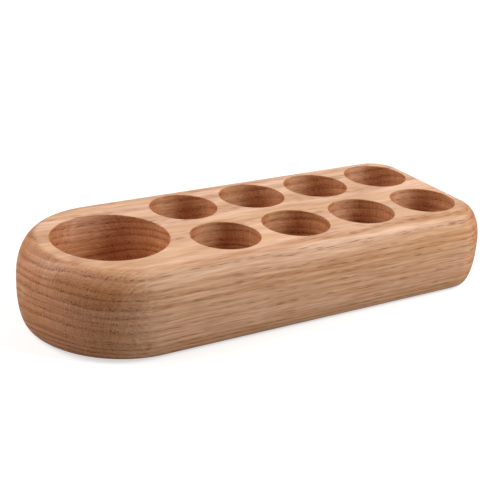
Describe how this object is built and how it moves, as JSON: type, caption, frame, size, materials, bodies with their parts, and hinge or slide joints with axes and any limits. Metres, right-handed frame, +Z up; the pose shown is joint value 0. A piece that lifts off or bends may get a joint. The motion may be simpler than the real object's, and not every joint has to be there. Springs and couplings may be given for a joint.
{
  "type": "egg holder tray",
  "caption": "Thick oak tray with a half-round nose and squared tail, cut with two rows of egg cups and a large round bowl, standing on low rubber feet.",
  "frame": {"origin": "middle of the tray's footprint, on the surface it stands on", "axes": "+X from the half-round nose to the squared tail, +Y to the back row of cups, +Z up"},
  "size_m": [0.288, 0.115, 0.0515],
  "materials": {
    "oak": "oiled, matte, open-pored",
    "rubber": "moulded, matte"
  },
  "bodies": {
    "root": {"tray_body": "oak", "foot_front_left": "rubber", "foot_front_right": "rubber", "foot_back_left": "rubber", "foot_back_right": "rubber"}
  },
  "joints": []
}
